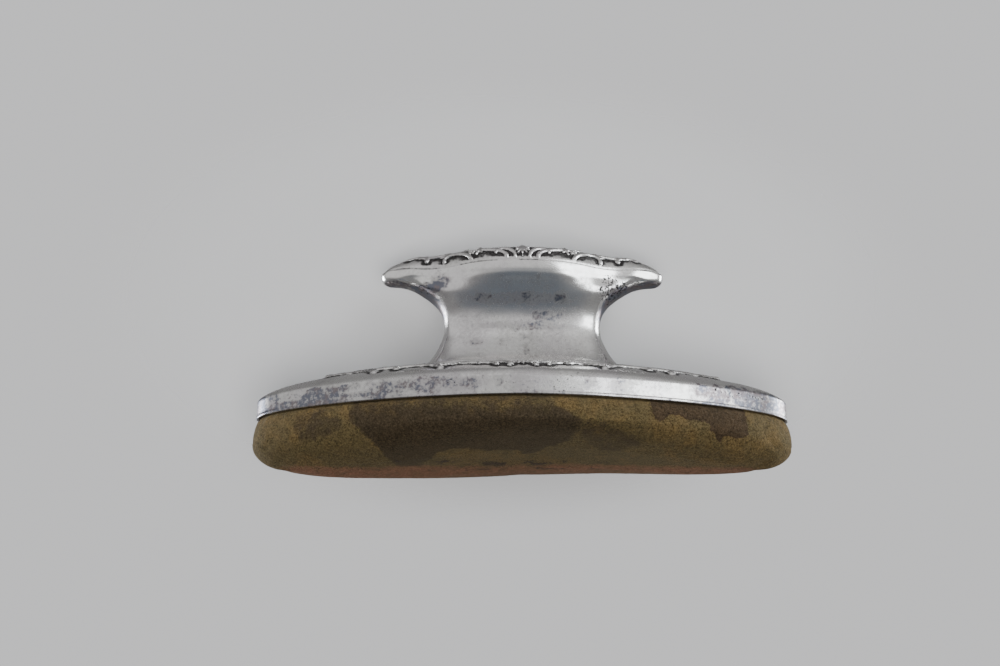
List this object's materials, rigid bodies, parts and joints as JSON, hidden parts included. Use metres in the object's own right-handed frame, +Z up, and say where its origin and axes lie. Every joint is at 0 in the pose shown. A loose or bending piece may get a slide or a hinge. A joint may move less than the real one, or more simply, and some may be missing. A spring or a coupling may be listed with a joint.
{
  "type": "nail buffer",
  "caption": "Hand nail buffer: oval leather-covered pad pushed into a stamped metal cover that carries a hollow handle with two tapered horns.",
  "frame": {"origin": "under the middle of the pad, on the surface that the buffer stands on", "axes": "+X along the length, +Z up out of the pad towards the handle, +Y across"},
  "size_m": [0.1304, 0.0472, 0.0578],
  "materials": {
    "silver": "worn satin-bright silver with tarnish in the recesses",
    "chamois": "napped chamois, stained",
    "board_wood": "raw, planed",
    "felt": "pressed felt",
    "wool": "loose wool wadding",
    "tack_metal": "dull"
  },
  "bodies": {
    "pad_unit": {"chamois_cover": "chamois", "core_board": "board_wood", "felt_underlay": "felt", "wool_padding": "wool", "tack_01": "tack_metal", "tack_02": "tack_metal", "tack_03": "tack_metal", "tack_04": "tack_metal", "tack_05": "tack_metal", "tack_06": "tack_metal", "tack_07": "tack_metal", "tack_08": "tack_metal", "tack_09": "tack_metal", "tack_10": "tack_metal", "tack_11": "tack_metal", "tack_12": "tack_metal", "tack_13": "tack_metal", "tack_14": "tack_metal"},
    "silver_mount": {"cover_shell": "silver", "handle_front": "silver", "handle_back": "silver", "handle_cap": "silver"}
  },
  "joints": [
    {"name": "mount_lift", "type": "slide", "parent": "pad_unit", "child": "silver_mount", "axis": [0, 0, 1], "range_m": [0, 0.02]}
  ]
}
